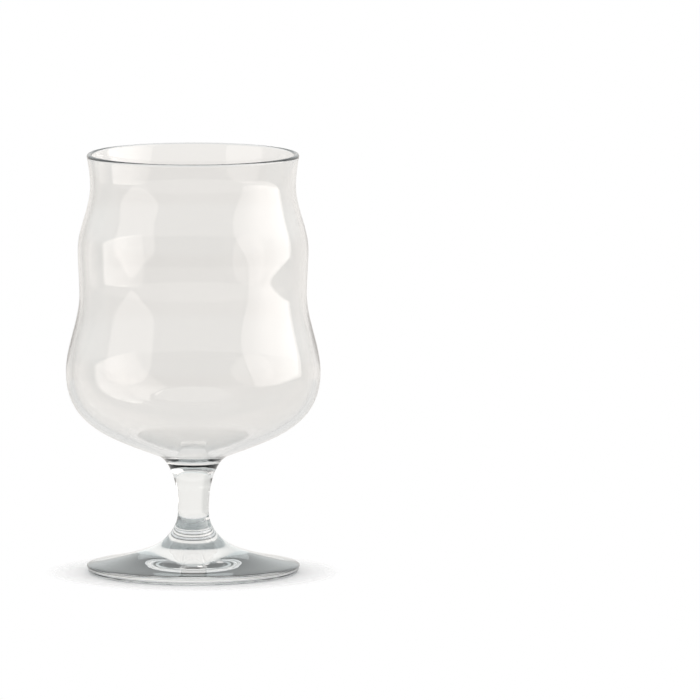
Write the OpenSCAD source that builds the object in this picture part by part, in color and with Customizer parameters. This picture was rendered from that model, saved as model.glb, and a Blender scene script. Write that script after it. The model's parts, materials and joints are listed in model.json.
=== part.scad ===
// Tulip beer glass on a short stem, in clear glass.
// It is made of three pieces that are fused while hot: a blown bowl, a drawn stem and a pressed foot.
// At each joint two pieces share one flat disc, one diameter and one slope, so the outline runs on.
// Millimetres. +Z is up, and the origin is on the table, under the middle of the foot.
// Every rise is measured from the station below it, so each size can be changed by itself.

/* [Foot] */
// Diameter of the foot at its widest
foot_d = 70.8; // [60:0.2:84]
// Height at which the foot is widest, above the table
foot_edge_h = 2.4; // [1.8:0.1:3.4]
// Height of the rounding above the widest point of the foot
foot_edge_round = 0.9; // [0.5:0.1:1.6]
// Inset of the flat standing ring from the foot's widest point
stand_inset = 1.3; // [0.8:0.1:2.5]
// Width of the flat standing ring
stand_w = 3; // [2:0.1:5]
// Diameter of the foot's shoulder, where its slope eases
shoulder_d = 31.8; // [26:0.2:40]
// Height of the foot's shoulder above the table
shoulder_h = 7.6; // [6:0.1:9]
// Slope of the foot at its shoulder, in degrees
shoulder_slope = 20; // [12:1:28]
// Rise from the shoulder to the foot joint, where the stem begins
foot_joint_rise = 3.6; // [2.4:0.1:5]
// Diameter of the foot joint
foot_joint_d = 19.3; // [16:0.1:22]
// Slope of the outline at the foot joint, in degrees
foot_joint_slope = 41; // [32:1:52]
// Height of the very shallow hollow under the foot, in its middle
hollow_h = 0.6; // [0.1:0.1:1.5]

/* [Stem] */
// Diameter of the stem where it is slimmest
stem_d = 10.3; // [8:0.1:13]
// Rise from the foot joint to the slimmest point
stem_waist_rise = 9; // [7:0.1:14]
// Rise from the slimmest point to the bowl joint
stem_top_rise = 15.8; // [12:0.1:40]
// Diameter of the bowl joint, where the stem ends
bowl_joint_d = 16.9; // [14:0.1:20]
// Slope of the outline at the bowl joint, in degrees
bowl_joint_slope = 59; // [48:1:70]

/* [Bowl] */
// Rise from the bowl joint to the collar, where the fillet under the bowl ends
collar_rise = 3.1; // [2:0.1:5]
// Diameter of the collar
collar_d = 23.5; // [20:0.1:28]
// Slope of the bowl's underside at the collar, in degrees
collar_slope = 20.6; // [12:0.2:28]
// Rise from the collar to the belly
belly_rise = 28.2; // [22:0.2:40]
// Outside diameter of the belly, the widest part of the glass
belly_d = 84.7; // [76:0.1:100]
// Rise from the belly to the waist
waist_rise = 25.7; // [18:0.1:40]
// Outside diameter of the waist, between the belly and the upper swell
waist_d = 75.6; // [66:0.1:84]
// Rise from the waist to the upper swell
swell_rise = 15; // [10:0.1:25]
// Outside diameter of the upper swell
swell_d = 76.7; // [70:0.1:90]
// Rise from the upper swell to the neck
neck_rise = 21.1; // [14:0.1:30]
// Outside diameter of the neck
neck_d = 68.4; // [60:0.1:78]
// Rise from the neck to the top of the rim
rim_rise = 10.9; // [7:0.1:16]
// Outside diameter of the rim
rim_d = 70.6; // [64:0.1:82]
// Angle by which the lip leans outwards, in degrees
lip_lean = 10; // [4:1:18]

/* [Thickness of the bowl] */
// Thickness of the fire-polished rim
rim_t = 1.7; // [1.2:0.1:2.4]
// Thickness of the wall from the neck down to the waist
wall_t = 1.6; // [1:0.1:2.4]
// Thickness of the wall at the belly
belly_t = 2.2; // [1.2:0.1:3]
// Thickness of the wall at the collar
collar_t = 2; // [1.6:0.1:4]
// Slope of the bowl's inside at the edge of the floor, in degrees
inside_slope = 21.8; // [14:0.2:30]
// Diameter of the small dish in the floor
floor_d = 15; // [10:0.2:18]
// Depth of that dish
floor_dish = 0.9; // [0.4:0.1:1.4]

/* [Fullness of the curves, as shares of their spans] */
// Straightness of the bowl's underside, outwards from the collar
under_pull = 0.455; // [0.3:0.005:0.5]
// Straightness of the bowl's side, down from the belly
belly_pull = 0.415; // [0.3:0.005:0.5]
// Straightness of the bowl's inside, outwards from the floor
inside_under_pull = 0.47; // [0.3:0.005:0.5]
// Straightness of the bowl's inside, down from the belly
inside_belly_pull = 0.4; // [0.3:0.005:0.5]
// Straightness of the stem at its slimmest point
stem_pull = 0.35; // [0.25:0.01:0.45]
// Straightness of the foot's slope, outwards from the shoulder
foot_pull = 0.6; // [0.4:0.01:0.7]

/* [Hidden] */
glass_colour = [0.86, 0.91, 0.9, 0.45];

// Straight steps in one curved stretch of an outline
stretch_steps = 18;
// Straight steps around the half round of the rim
rim_steps = 16;
// Sides of a turned piece
$fn = 180;
// Share of its span for which a plain fillet keeps to each slope
fillet_pull = 1 / 3;

// Radii
foot_r = foot_d / 2;
stand_r = foot_r - stand_inset;
hollow_r = stand_r - stand_w;
shoulder_r = shoulder_d / 2;
foot_joint_r = foot_joint_d / 2;
stem_r = stem_d / 2;
bowl_joint_r = bowl_joint_d / 2;
collar_r = collar_d / 2;
belly_r = belly_d / 2;
waist_r = waist_d / 2;
swell_r = swell_d / 2;
neck_r = neck_d / 2;
rim_r = rim_d / 2;
floor_r = floor_d / 2;
lip_r = rim_t / 2;

// Heights above the table, stacked from the foot up
foot_joint_z = shoulder_h + foot_joint_rise;
stem_waist_z = foot_joint_z + stem_waist_rise;
bowl_joint_z = stem_waist_z + stem_top_rise;
collar_z = bowl_joint_z + collar_rise;
belly_z = collar_z + belly_rise;
waist_z = belly_z + waist_rise;
swell_z = waist_z + swell_rise;
neck_z = swell_z + neck_rise;
rim_z = neck_z + rim_rise;

// Directions along the outline, as [outwards, upwards]
UP = [0, 1];
OUT = [1, 0];
lip_way = [sin(lip_lean), cos(lip_lean)];
collar_way = [cos(collar_slope), sin(collar_slope)];
inside_way = [cos(inside_slope), sin(inside_slope)];
bowl_joint_way = [cos(bowl_joint_slope), sin(bowl_joint_slope)];
foot_joint_way = [cos(foot_joint_slope), -sin(foot_joint_slope)];
shoulder_way = [cos(shoulder_slope), -sin(shoulder_slope)];

// Stations of the outline that two stretches or two pieces share
edge = [foot_r, foot_edge_h];
stand = [stand_r, 0];
shoulder = [shoulder_r, shoulder_h];
foot_joint = [foot_joint_r, foot_joint_z];
stem_waist = [stem_r, stem_waist_z];
bowl_joint = [bowl_joint_r, bowl_joint_z];
collar = [collar_r, collar_z];
rim_middle = [rim_r - lip_r, rim_z - lip_r];

// Inside of the collar, and the edge of the floor's dish further down the inside slope
collar_inside = collar + collar_t * [-collar_way[1], collar_way[0]];
dish_edge = [floor_r, collar_inside[1] - (collar_inside[0] - floor_r) * tan(inside_slope)];
floor_middle = [0, dish_edge[1] - floor_dish];

// Point at share t of a cubic curve with four control points
function cubic(p, t) =
    pow(1 - t, 3) * p[0] + 3 * pow(1 - t, 2) * t * p[1] + 3 * (1 - t) * pow(t, 2) * p[2] + pow(t, 3) * p[3];

// Points of a curve that leaves station a along way_a and reaches station b along way_b.
// pull_a and pull_b are the shares of its span for which it keeps to each way. Station b is left out.
function stretch(a, way_a, b, way_b, pull_a = fillet_pull, pull_b = fillet_pull) =
    let (span = norm(b - a), control = [a, a + pull_a * span * way_a, b - pull_b * span * way_b, b])
    [for (i = [0 : stretch_steps - 1]) cubic(control, i / stretch_steps)];

// Points between two stations where the wall stands upright, such as a neck and a swell
function upright(a, b) =
    let (rise = b[1] - a[1], pull = fillet_pull * abs(rise) / norm(b - a))
    stretch(a, sign(rise) * UP, b, sign(rise) * UP, pull, pull);

// Points on one face of the bowl's wall, from the belly up to the lip.
// The insets say how far that face lies inside the outline, and lip is where it meets the rim.
function wall(belly_inset, inset, lip) =
    let (
        belly = [belly_r - belly_inset, belly_z],
        waist = [waist_r - inset, waist_z],
        swell = [swell_r - inset, swell_z],
        neck = [neck_r - inset, neck_z]
    )
    concat(upright(belly, waist), upright(waist, swell), upright(swell, neck), stretch(neck, UP, lip, lip_way));

// Points of the bowl's outside, from the bowl joint up to the lip
function bowl_outside() = concat(
    stretch(bowl_joint, bowl_joint_way, collar, collar_way),
    stretch(collar, collar_way, [belly_r, belly_z], UP, under_pull, belly_pull),
    wall(0, 0, rim_middle + lip_r * [lip_way[1], -lip_way[0]])
);

// Points of the bowl's inside, from the middle of the floor up to the lip
function bowl_inside() = concat(
    stretch(floor_middle, OUT, dish_edge, inside_way),
    stretch(dish_edge, inside_way, [belly_r - belly_t, belly_z], UP, inside_under_pull, inside_belly_pull),
    wall(belly_t, wall_t, rim_middle - lip_r * [lip_way[1], -lip_way[0]])
);

// Points of the fire-polished rim, a half round from the outside of the lip over to its inside
function rim() = [
    for (i = [0 : rim_steps])
        let (turn = 180 * i / rim_steps - lip_lean)
        rim_middle + lip_r * [cos(turn), sin(turn)]
];

// Points of the stem's outside, from the foot joint up to the bowl joint
function stem_outside() = concat(
    stretch(foot_joint, -foot_joint_way, stem_waist, UP, fillet_pull, stem_pull),
    stretch(stem_waist, UP, bowl_joint, bowl_joint_way, stem_pull, fillet_pull),
    [bowl_joint]
);

// Points of the foot's top and edge, from the foot joint out and down to the standing ring
function foot_outside() = concat(
    stretch(foot_joint, foot_joint_way, shoulder, shoulder_way),
    stretch(shoulder, shoulder_way, edge, -UP, foot_pull, foot_edge_round / norm(edge - shoulder)),
    stretch(edge, -UP, stand, -OUT),
    [stand]
);

// Points of the hollow under the foot, a shallow dome, from the standing ring in to the middle
function hollow() = [
    for (i = [stretch_steps : -1 : 0])
        let (share = i / stretch_steps)
        [hollow_r * share, hollow_h * (1 - pow(share, 2))]
];

// Points of a list in the opposite order
function backwards(points) = [for (i = [len(points) - 1 : -1 : 0]) points[i]];

// Blown bowl with its rim, closed below by the disc that joins the stem
module bowl() {
    color(glass_colour)
        rotate_extrude()
            polygon(concat([[0, bowl_joint_z]], bowl_outside(), rim(), backwards(bowl_inside())));
}

// Solid waisted stem between its two joint discs
module stem() {
    color(glass_colour)
        rotate_extrude()
            polygon(concat([[0, foot_joint_z]], stem_outside(), [[0, bowl_joint_z]]));
}

// Pressed foot with a sloping top, a standing ring and an almost flat underside
module foot() {
    color(glass_colour)
        rotate_extrude()
            polygon(concat([[0, foot_joint_z]], foot_outside(), hollow()));
}

bowl();
stem();
foot();
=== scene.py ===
import json
import math

import bpy
from bpy.props import FloatProperty, FloatVectorProperty, IntProperty, PointerProperty
from bpy.types import Operator, Panel, PropertyGroup
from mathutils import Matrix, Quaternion, Vector

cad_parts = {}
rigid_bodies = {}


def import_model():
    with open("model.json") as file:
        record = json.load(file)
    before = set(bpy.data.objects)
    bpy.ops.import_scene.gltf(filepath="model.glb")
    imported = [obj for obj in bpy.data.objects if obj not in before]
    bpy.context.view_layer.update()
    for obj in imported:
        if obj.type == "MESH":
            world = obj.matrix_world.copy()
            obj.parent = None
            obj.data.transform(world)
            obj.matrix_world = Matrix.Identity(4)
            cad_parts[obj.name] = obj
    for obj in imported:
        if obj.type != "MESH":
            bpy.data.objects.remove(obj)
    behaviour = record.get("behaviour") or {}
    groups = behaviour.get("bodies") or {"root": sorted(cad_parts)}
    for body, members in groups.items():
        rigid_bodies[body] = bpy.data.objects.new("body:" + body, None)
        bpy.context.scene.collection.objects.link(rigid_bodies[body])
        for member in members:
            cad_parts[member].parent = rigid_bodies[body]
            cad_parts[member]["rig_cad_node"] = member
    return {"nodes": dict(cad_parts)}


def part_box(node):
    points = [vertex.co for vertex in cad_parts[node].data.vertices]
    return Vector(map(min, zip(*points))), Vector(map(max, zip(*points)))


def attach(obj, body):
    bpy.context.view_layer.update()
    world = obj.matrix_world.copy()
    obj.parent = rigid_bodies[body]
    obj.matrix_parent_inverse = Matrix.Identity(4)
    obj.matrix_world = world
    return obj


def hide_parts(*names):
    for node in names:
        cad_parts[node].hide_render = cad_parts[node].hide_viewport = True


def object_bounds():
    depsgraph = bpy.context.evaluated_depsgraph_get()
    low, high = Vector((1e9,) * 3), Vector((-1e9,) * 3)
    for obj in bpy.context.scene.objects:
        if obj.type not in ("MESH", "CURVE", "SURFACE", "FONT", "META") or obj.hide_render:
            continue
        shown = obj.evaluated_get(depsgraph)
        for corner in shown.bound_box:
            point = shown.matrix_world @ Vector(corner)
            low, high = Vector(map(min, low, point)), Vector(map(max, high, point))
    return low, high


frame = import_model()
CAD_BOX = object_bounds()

bl_info = {
    "name": "Tulip beer glass",
    "version": (1, 0, 0),
    "blender": (4, 5, 0),
    "location": "View3D > Sidebar > Glass",
    "description": "Turns the bowl, stem and foot of a tulip beer glass and sets up its studio",
    "category": "Object",
}

BODY = "root"
WHITE = (1, 1, 1, 1)
# Vertices closer than this, in metres, are one vertex
WELD_DISTANCE = 1e-6
# A face lies level when the height of its unit normal is more than this
LEVEL_NORMAL = 0.999
# Marks of wiping are this many times finer than the ripples in the glass
WIPING_FINENESS = 3
# Side of the photograph's frame, in pixels
PICTURE_SIDE = 700
# The camera sees this many times as far as the glass
VIEW_REACH = 4
# Corners of the round floor, and the grain of its card, per metre and in metres of height
FLOOR_CORNERS = 128
TOOTH_PER_METRE = 900.0
TOOTH_HEIGHT = 0.00002
# Where parts of the studio room start and are complete, on the unit vector that points at them.
# X counts to the right, Y away from the photograph's camera and Z upwards.
LEFT_END_X = (-0.3, -0.55)
SIDE_WALLS_Y = (0.0, 0.2)
BACK_WALL_Y = (0.5, 0.7)
CEILING_Z = (0.0, 0.22)
TABLE_EDGE_Z = (-0.15, -0.165)
TABLE_Z = (-0.2, -0.6)


def colour_property(name, description, default):
    """A colour that a user can change."""
    return FloatVectorProperty(
        name=name, description=description, default=default, size=3, subtype="COLOR", min=0, max=1
    )


class GlassShape(PropertyGroup):
    """How finely the turned pieces are divided."""

    turn_steps: IntProperty(
        name="Steps round the axis",
        description="Number of steps in which an outline is spun round the axis of the glass",
        default=192,
        min=48,
        max=360,
    )
    crease_angle: FloatProperty(
        name="Crease angle",
        description="Edges sharper than this stay sharp",
        default=math.radians(35),
        subtype="ANGLE",
    )


class GlassFinish(PropertyGroup):
    """Colour and surface of the clear glass."""

    bowl_tint: colour_property(
        name="Bowl tint",
        description="Colour that the thin wall of the bowl gives to light",
        default=(0.93, 0.93, 0.928),
    )
    foot_tint: colour_property(
        name="Foot tint",
        description="Colour that the thick stem and foot give to light",
        default=(0.95, 0.97, 0.975),
    )
    refraction: FloatProperty(
        name="Refractive index",
        description="Refractive index of soda-lime glass",
        default=1.52,
        min=1.3,
        max=1.8,
    )
    ripple_size: FloatProperty(
        name="Ripple size",
        description="Width of the slight ripples that blowing and pressing leave",
        default=0.018,
        unit="LENGTH",
    )
    ripple_height: FloatProperty(
        name="Ripple height",
        description="Height of those ripples",
        default=0.00002,
        unit="LENGTH",
    )
    haze: FloatProperty(
        name="Haze",
        description="Most roughness that wiping leaves on the polished surface",
        default=0.02,
        min=0,
        max=0.2,
    )


class StudioSetup(PropertyGroup):
    """Camera, floor and light."""

    camera_distance: FloatProperty(
        name="Camera distance",
        description="Distance from the camera to the middle of the glass",
        default=6.0,
        unit="LENGTH",
    )
    camera_pitch: FloatProperty(
        name="Camera pitch",
        description="Angle by which the camera looks down",
        default=math.radians(6.75),
        subtype="ANGLE",
    )
    pixels_per_metre: FloatProperty(
        name="Pixels per metre",
        description="Scale of the picture at the axis of the glass",
        default=3008,
    )
    axis_column: FloatProperty(
        name="Axis column",
        description="Pixel column of the glass's axis, in a picture 700 pixels wide",
        default=193.18,
    )
    middle_row: FloatProperty(
        name="Middle row",
        description="Pixel row of the middle of the axis, in a picture 700 pixels high",
        default=362.95,
    )
    floor_radius: FloatProperty(
        name="Floor radius",
        description="Radius of the round floor",
        default=0.05,
        unit="LENGTH",
    )
    floor_fade: FloatProperty(
        name="Floor fade",
        description="Width of the soft edge in which the floor runs out into the white",
        default=0.011,
        unit="LENGTH",
    )
    floor_colour: colour_property(
        name="Floor colour",
        description="Colour of the matt floor",
        default=(0.99, 0.99, 0.99),
    )
    air_gap: FloatProperty(
        name="Air gap",
        description="Gap of air between the floor and the standing ring",
        default=0.0001,
        unit="LENGTH",
    )
    # Painted shade: the floor takes this darker colour under the foot, standing in for the shadow that
    # falls there
    painted_shade_colour: colour_property(
        name="Shade colour",
        description="Colour of the floor in the shade under the foot",
        default=(0.76, 0.8, 0.8),
    )
    painted_shade_fade: FloatProperty(
        name="Shade fade",
        description="Width of the soft edge of the shade under the foot",
        default=0.003,
        unit="LENGTH",
    )
    fill_strength: FloatProperty(
        name="Fill",
        description="Strength of the even light that matt things get from all round",
        default=1.0,
    )
    backdrop_colour: colour_property(
        name="Backdrop colour",
        description="Colour of the pale backdrop, as it shows through the glass from every side",
        default=(0.94, 0.915, 0.885),
    )
    backdrop_shade: colour_property(
        name="Backdrop shade",
        description="Colour of the backdrop's left end, where less light falls",
        default=(0.76, 0.745, 0.72),
    )
    room_colour: colour_property(
        name="Room colour",
        description="Colour of the dim room around the camera, as the glass mirrors it",
        default=(0.25, 0.25, 0.25),
    )
    side_colour: colour_property(
        name="Side colour",
        description="Colour of the room beside the backdrop, as the glass mirrors it",
        default=(0.5, 0.54, 0.54),
    )
    ceiling_colour: colour_property(
        name="Ceiling colour",
        description="Colour of the lit ceiling, as the glass mirrors it",
        default=(0.96, 1.0, 1.0),
    )
    ceiling_strength: FloatProperty(
        name="Ceiling",
        description="Strength of the lit ceiling, as the glass mirrors it",
        default=1.28,
    )
    table_colour: colour_property(
        name="Table colour",
        description="Colour of the table beyond the floor, as the glass shows it",
        default=(0.82, 0.82, 0.81),
    )
    lamp_colour: colour_property(
        name="Lamp colour",
        description="Colour of the soft boxes",
        default=(1.0, 0.94, 0.9),
    )
    lamp_distance: FloatProperty(
        name="Lamp distance",
        description="Distance from the soft boxes to the middle of the glass",
        default=0.75,
        unit="LENGTH",
    )
    right_power: FloatProperty(
        name="Right soft box",
        description="Power of the soft box on the right",
        default=6.6,
        unit="POWER",
    )
    left_power: FloatProperty(
        name="Left soft box",
        description="Power of the soft box on the left",
        default=0.75,
        unit="POWER",
    )


class Value:
    """A shader socket that can stand in Python arithmetic. Each operation adds a Math node."""

    def __init__(self, nodes, socket):
        self.nodes = nodes
        self.socket = socket

    def math(self, operation, first, second):
        return self.nodes.add("ShaderNodeMath", {"operation": operation}, {0: first, 1: second})

    def __sub__(self, other):
        return self.math("SUBTRACT", self, other)

    def __rsub__(self, other):
        return self.math("SUBTRACT", other, self)

    def __mul__(self, other):
        return self.math("MULTIPLY", self, other)

    def __rmul__(self, other):
        return self.math("MULTIPLY", other, self)

    def at_most(self, limit):
        return self.math("MINIMUM", self, limit)


class Nodes:
    """The emptied node tree of a material, a lamp or the world."""

    def __init__(self, owner):
        owner.use_nodes = True
        self.tree = owner.node_tree
        self.tree.nodes.clear()

    def add(self, kind, settings=None, inputs=None, output=0):
        """Adds a node, sets it up, then fills or links its inputs, and returns one of its outputs."""
        node = self.tree.nodes.new(kind)
        for name, setting in (settings or {}).items():
            setattr(node, name, setting)
        for name, entry in (inputs or {}).items():
            if isinstance(entry, Value):
                self.tree.links.new(entry.socket, node.inputs[name])
            else:
                node.inputs[name].default_value = entry
        return Value(self, node.outputs[output]) if node.outputs else None


def fade(nodes, value, start, end):
    """Rises smoothly from 0 at the start to 1 at the end."""
    return nodes.add(
        "ShaderNodeMapRange",
        {"interpolation_type": "SMOOTHSTEP"},
        {"Value": value, "From Min": start, "From Max": end},
    )


def blend(nodes, share, first, second):
    """Mixes two colours. The share is that of the second one."""
    return nodes.add(
        "ShaderNodeMix",
        {"data_type": "RGBA"},
        {"Factor": share, 6: first, 7: second},
        output=2,
    )


def clear_glass(name, tint):
    """Polished clear glass with the faint ripples and haze of a real surface."""
    finish = bpy.context.scene.glass_finish
    material = bpy.data.materials.new(name)
    nodes = Nodes(material)
    place = nodes.add("ShaderNodeTexCoord", output="Object")
    ripple = nodes.add(
        "ShaderNodeTexNoise",
        inputs={"Vector": place, "Scale": 1 / finish.ripple_size, "Detail": 1.0, "Roughness": 0.4},
    )
    wiping = nodes.add(
        "ShaderNodeTexNoise",
        inputs={"Vector": place, "Scale": WIPING_FINENESS / finish.ripple_size, "Detail": 3.0},
    )
    normal = nodes.add(
        "ShaderNodeBump",
        inputs={"Strength": 1.0, "Distance": finish.ripple_height, "Height": ripple},
    )
    shader = nodes.add(
        "ShaderNodeBsdfPrincipled",
        inputs={
            "Base Color": (*tint, 1.0),
            "Roughness": wiping * wiping * finish.haze,
            "IOR": finish.refraction,
            "Transmission Weight": 1.0,
            "Normal": normal,
        },
    )
    nodes.add("ShaderNodeOutputMaterial", inputs={"Surface": shader})
    return material


def fused_glass():
    """The joint discs inside the glass, where two pieces have flowed into one and nothing shows."""
    material = bpy.data.materials.get("fused_glass")
    if material:
        return material
    material = bpy.data.materials.new("fused_glass")
    nodes = Nodes(material)
    shader = nodes.add("ShaderNodeBsdfPrincipled", inputs={"Alpha": 0.0})
    nodes.add("ShaderNodeOutputMaterial", inputs={"Surface": shader})
    return material


def matt_floor(studio):
    """Matt white card with a fine tooth, with painted shade under the foot."""
    material = bpy.data.materials.new("matt_floor")
    nodes = Nodes(material)
    place = nodes.add("ShaderNodeTexCoord", output="Object")
    radius = nodes.add("ShaderNodeVectorMath", {"operation": "LENGTH"}, {0: place}, output="Value")
    foot_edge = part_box("foot")[1].x
    # Painted shade: the floor is darker under the foot and fades to its own colour at the foot's edge
    outside_painted_shade = fade(nodes, radius, foot_edge - studio.painted_shade_fade, foot_edge)
    colour = blend(nodes, outside_painted_shade, (*studio.painted_shade_colour, 1), (*studio.floor_colour, 1))
    gone = fade(nodes, radius, studio.floor_radius - studio.floor_fade, studio.floor_radius)
    tooth = nodes.add("ShaderNodeTexNoise", inputs={"Vector": place, "Scale": TOOTH_PER_METRE})
    normal = nodes.add("ShaderNodeBump", inputs={"Distance": TOOTH_HEIGHT, "Height": tooth})
    shader = nodes.add(
        "ShaderNodeBsdfPrincipled",
        inputs={
            "Base Color": colour,
            "Roughness": 0.9,
            "Specular IOR Level": 0.1,
            "Alpha": 1 - gone,
            "Normal": normal,
        },
    )
    nodes.add("ShaderNodeOutputMaterial", inputs={"Surface": shader})
    return material


def select_only(piece):
    """Leaves one object selected and active."""
    bpy.ops.object.select_all(action="DESELECT")
    piece.select_set(True)
    bpy.context.view_layer.objects.active = piece


def section_copy(node, name):
    """A copy of a CAD node, cut down to its half outline in the plane of X and Z."""
    select_only(frame["nodes"][node])
    bpy.ops.object.duplicate()
    piece = bpy.context.view_layer.objects.active
    piece.name = name
    piece.data.name = name
    del piece["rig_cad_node"]
    piece.parent = None
    piece.data.materials.clear()
    bpy.ops.object.mode_set(mode="EDIT")
    bpy.ops.mesh.select_mode(type="VERT")
    bpy.ops.mesh.select_all(action="SELECT")
    bpy.ops.mesh.remove_doubles(threshold=WELD_DISTANCE)
    bpy.ops.mesh.bisect(
        plane_co=(0, 0, 0),
        plane_no=(0, 1, 0),
        clear_inner=True,
        clear_outer=True,
        threshold=WELD_DISTANCE,
    )
    bpy.ops.mesh.select_all(action="DESELECT")
    bpy.ops.object.mode_set(mode="OBJECT")
    for vertex in piece.data.vertices:
        vertex.select = vertex.co.x < -WELD_DISTANCE
    bpy.ops.object.mode_set(mode="EDIT")
    bpy.ops.mesh.delete(type="VERT")
    return piece


def is_fused(face, joint_heights):
    """Whether a face lies level at one of the joint heights."""
    level = abs(face.normal.z) > LEVEL_NORMAL
    return level and any(abs(face.center.z - joint) < WELD_DISTANCE for joint in joint_heights)


def turn(node, name, material, joint_heights):
    """Spins a CAD node's outline into a smooth closed piece, with fused discs at the joint heights."""
    shape = bpy.context.scene.glass_shape
    piece = section_copy(node, name)
    bpy.ops.mesh.select_all(action="SELECT")
    bpy.ops.mesh.spin(steps=shape.turn_steps, angle=math.tau, center=(0, 0, 0), axis=(0, 0, 1))
    bpy.ops.mesh.select_all(action="SELECT")
    bpy.ops.mesh.remove_doubles(threshold=WELD_DISTANCE)
    bpy.ops.mesh.select_all(action="DESELECT")
    bpy.ops.mesh.select_non_manifold(
        use_wire=False, use_boundary=True, use_multi_face=False, use_non_contiguous=False, use_verts=False
    )
    bpy.ops.mesh.fill_holes(sides=0)
    bpy.ops.mesh.select_all(action="DESELECT")
    bpy.ops.mesh.select_mode(type="FACE")
    bpy.ops.mesh.select_face_by_sides(number=4, type="GREATER")
    bpy.ops.mesh.poke()
    bpy.ops.mesh.select_all(action="SELECT")
    bpy.ops.mesh.normals_make_consistent(inside=False)
    bpy.ops.object.mode_set(mode="OBJECT")
    bpy.ops.object.shade_smooth_by_angle(angle=shape.crease_angle)
    piece.data.materials.append(material)
    piece.data.materials.append(fused_glass())
    for face in piece.data.polygons:
        face.select = is_fused(face, joint_heights)
        face.material_index = int(face.select)
    bpy.ops.object.mode_set(mode="EDIT")
    bpy.ops.mesh.region_to_loop()
    bpy.ops.mesh.mark_sharp()
    bpy.ops.object.mode_set(mode="OBJECT")
    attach(piece, BODY)
    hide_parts(node)
    return piece


class GLASS_OT_bowl(Operator):
    """Turn the blown bowl, with its rim, lip, swell, waist and belly"""

    bl_idname = "glass.bowl"
    bl_label = "Bowl"

    def execute(self, context):
        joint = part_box("bowl")[0].z
        glass = clear_glass("bowl_glass", context.scene.glass_finish.bowl_tint)
        piece = turn("bowl", "blown_bowl", glass, [joint])
        return {"FINISHED"}


class GLASS_OT_stem(Operator):
    """Turn the solid waisted stem"""

    bl_idname = "glass.stem"
    bl_label = "Stem"

    def execute(self, context):
        low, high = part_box("stem")
        glass = clear_glass("stem_glass", context.scene.glass_finish.foot_tint)
        piece = turn("stem", "drawn_stem", glass, [low.z, high.z])
        return {"FINISHED"}


class GLASS_OT_foot(Operator):
    """Turn the pressed foot, with its sloping top and almost flat underside"""

    bl_idname = "glass.foot"
    bl_label = "Foot"

    def execute(self, context):
        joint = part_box("foot")[1].z
        glass = clear_glass("foot_glass", context.scene.glass_finish.foot_tint)
        piece = turn("foot", "pressed_foot", glass, [joint])
        return {"FINISHED"}


def set_camera(studio):
    """Places the camera so that the glass has its size and place in the picture."""
    low, high = CAD_BOX
    middle = Vector((0, 0, (low.z + high.z) / 2))
    pitch = studio.camera_pitch
    forward = Vector((0, math.cos(pitch), -math.sin(pitch)))
    up = Vector((0, math.sin(pitch), math.cos(pitch)))
    right = Vector((1, 0, 0))
    centre = PICTURE_SIDE / 2
    aside = (centre - studio.axis_column) / studio.pixels_per_metre
    above = (studio.middle_row - centre) / studio.pixels_per_metre
    place = middle - forward * studio.camera_distance + right * aside + up * above
    bpy.ops.object.camera_add(location=place, rotation=(math.pi / 2 - pitch, 0, 0))
    camera = bpy.context.object
    camera.name = "studio_camera"
    focal_pixels = studio.pixels_per_metre * studio.camera_distance
    camera.data.lens = focal_pixels * camera.data.sensor_width / PICTURE_SIDE
    camera.data.clip_end = VIEW_REACH * studio.camera_distance
    bpy.context.scene.camera = camera


def set_floor(studio):
    """Lays the round floor under the glass."""
    bpy.ops.object.select_all(action="DESELECT")
    bpy.ops.mesh.primitive_circle_add(
        vertices=FLOOR_CORNERS,
        radius=studio.floor_radius,
        fill_type="NGON",
        location=(0, 0, -studio.air_gap),
    )
    floor = bpy.context.object
    floor.name = "studio_floor"
    floor.data.materials.append(matt_floor(studio))


def soft_box(name, studio, azimuth, rise, roll, width, height, power, shape="RECTANGLE"):
    """A soft box that faces the glass. Its azimuth counts from the camera towards the right."""
    middle = Vector((0, 0, CAD_BOX[1].z / 2))
    distance = studio.lamp_distance
    level = distance * math.cos(rise)
    offset = Vector((math.sin(azimuth) * level, -math.cos(azimuth) * level, distance * math.sin(rise)))
    bpy.ops.object.light_add(type="AREA", location=middle + offset)
    lamp = bpy.context.object
    lamp.name = name
    facing = (-offset).to_track_quat("-Z", "Y")
    lamp.rotation_euler = (facing @ Quaternion((0, 0, 1), roll)).to_euler()
    lamp.data.shape = shape
    lamp.data.size = width
    lamp.data.size_y = height
    lamp.data.energy = power
    lamp.data.color = studio.lamp_colour
    lamp.visible_camera = False
    lamp.visible_diffuse = False
    return lamp


def dim_side(lamp, dimmest, reach):
    """Lets a soft box's light sink to a dimmest share at the camera's side, over a share of its width."""
    nodes = Nodes(lamp.data)
    place = nodes.add("ShaderNodeNewGeometry", output="Parametric")
    across = nodes.add("ShaderNodeSeparateXYZ", inputs={"Vector": place}, output="X")
    colour = blend(nodes, fade(nodes, across, 0.0, reach), (dimmest, dimmest, dimmest, 1), WHITE)
    light = nodes.add("ShaderNodeEmission", inputs={"Color": colour, "Strength": 1.0})
    nodes.add("ShaderNodeOutputLight", inputs={"Surface": light})


def flag_off(lamp, piece):
    """Keeps a lamp's light off one piece, as a flag in front of the lamp does."""
    shaded = bpy.data.collections.new(lamp.name + "_flag")
    shaded.objects.link(piece)
    shaded.collection_objects[0].light_linking.link_state = "EXCLUDE"
    lamp.light_linking.receiver_collection = shaded


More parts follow.
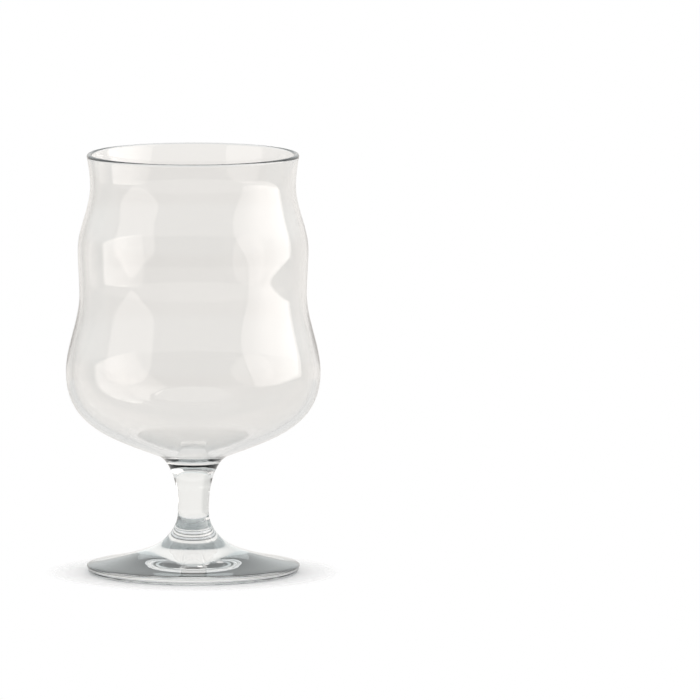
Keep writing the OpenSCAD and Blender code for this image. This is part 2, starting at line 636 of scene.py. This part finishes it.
def set_world(studio):
    """White for the picture, even fill for matt things, and a studio room for what the glass shows."""
    world = bpy.data.worlds.new("studio_room")
    bpy.context.scene.world = world
    nodes = Nodes(world)
    way = nodes.add("ShaderNodeTexCoord", output="Generated")
    aside, depth, rise = (
        nodes.add("ShaderNodeSeparateXYZ", inputs={"Vector": way}, output=axis) for axis in "XYZ"
    )
    table = (*studio.table_colour, 1)
    ceiling = (*(studio.ceiling_strength * part for part in studio.ceiling_colour), 1)
    fill = (studio.fill_strength, studio.fill_strength, studio.fill_strength, 1)

    # Walls of the room, dim around the camera and pale behind the glass
    left_end = fade(nodes, aside, *LEFT_END_X)
    backdrop = blend(nodes, left_end, (*studio.backdrop_colour, 1), (*studio.backdrop_shade, 1))
    side_walls = fade(nodes, depth, *SIDE_WALLS_Y)
    front = blend(nodes, side_walls, (*studio.room_colour, 1), (*studio.side_colour, 1))
    walls = blend(nodes, fade(nodes, depth, *BACK_WALL_Y), front, backdrop)

    # A way that is mirrored and then passes out of the glass meets the walls and the table's edge.
    # One that is mirrored last meets the backdrop and the ceiling.
    inner_view = blend(nodes, fade(nodes, rise, *TABLE_EDGE_Z), walls, table)
    outer_view = blend(nodes, fade(nodes, rise, *CEILING_Z), backdrop, ceiling)
    leaving = nodes.add("ShaderNodeLightPath", output="Is Transmission Ray")
    mirror_view = blend(nodes, leaving, outer_view, inner_view)

    # A way that is never mirrored meets the backdrop on every side, and steep ways down meet the table
    bounces = nodes.add("ShaderNodeLightPath", output="Glossy Depth")
    glass_view = blend(nodes, bounces.at_most(1.0), backdrop, mirror_view)
    room = blend(nodes, fade(nodes, rise, *TABLE_Z), glass_view, table)

    seen = nodes.add("ShaderNodeLightPath", output="Is Camera Ray")
    scattered = nodes.add("ShaderNodeLightPath", output="Diffuse Depth")
    colour = blend(nodes, scattered.at_most(1.0), blend(nodes, seen, room, WHITE), fill)
    light = nodes.add("ShaderNodeBackground", inputs={"Color": colour, "Strength": 1.0})
    nodes.add("ShaderNodeOutputWorld", inputs={"Surface": light})


class GLASS_OT_studio(Operator):
    """Set up the camera, the pale floor, the soft boxes and the white room"""

    bl_idname = "glass.studio"
    bl_label = "Studio"

    def execute(self, context):
        studio = context.scene.glass_studio
        set_camera(studio)
        set_floor(studio)
        right_box = soft_box(
            "right_soft_box",
            studio,
            azimuth=math.radians(82),
            rise=math.radians(27),
            roll=math.radians(8),
            width=0.95,
            height=1.09,
            power=studio.right_power,
        )
        dim_side(right_box, dimmest=0.4, reach=0.5)
        flag_off(right_box, bpy.data.objects["pressed_foot"])
        soft_box(
            "left_soft_box",
            studio,
            azimuth=math.radians(-63),
            rise=math.radians(13),
            roll=0,
            width=0.66,
            height=0.6,
            power=studio.left_power,
            shape="ELLIPSE",
        )
        set_world(studio)
        context.scene.view_settings.view_transform = "Standard"
        return {"FINISHED"}


class GLASS_PT_panel(Panel):
    """Lists the pieces of the glass and its studio in the sidebar"""

    bl_idname = "GLASS_PT_panel"
    bl_label = "Tulip beer glass"
    bl_space_type = "VIEW_3D"
    bl_region_type = "UI"
    bl_category = "Glass"

    def draw(self, context):
        for piece in PIECES:
            self.layout.operator(piece.bl_idname)
        for group_name in GROUPS:
            group = getattr(context.scene, group_name)
            for name in group.__annotations__:
                self.layout.prop(group, name)


GROUPS = {"glass_shape": GlassShape, "glass_finish": GlassFinish, "glass_studio": StudioSetup}
PIECES = (GLASS_OT_bowl, GLASS_OT_stem, GLASS_OT_foot, GLASS_OT_studio)


def register():
    for name, group in GROUPS.items():
        bpy.utils.register_class(group)
        setattr(bpy.types.Scene, name, PointerProperty(type=group))
    for item in (*PIECES, GLASS_PT_panel):
        bpy.utils.register_class(item)


def unregister():
    for item in (GLASS_PT_panel, *reversed(PIECES)):
        bpy.utils.unregister_class(item)
    for name, group in reversed(GROUPS.items()):
        delattr(bpy.types.Scene, name)
        bpy.utils.unregister_class(group)


def main():
    register()
    bpy.ops.glass.bowl()
    bpy.ops.glass.stem()
    bpy.ops.glass.foot()
    bpy.ops.glass.studio()


if __name__ == "__main__":
    main()
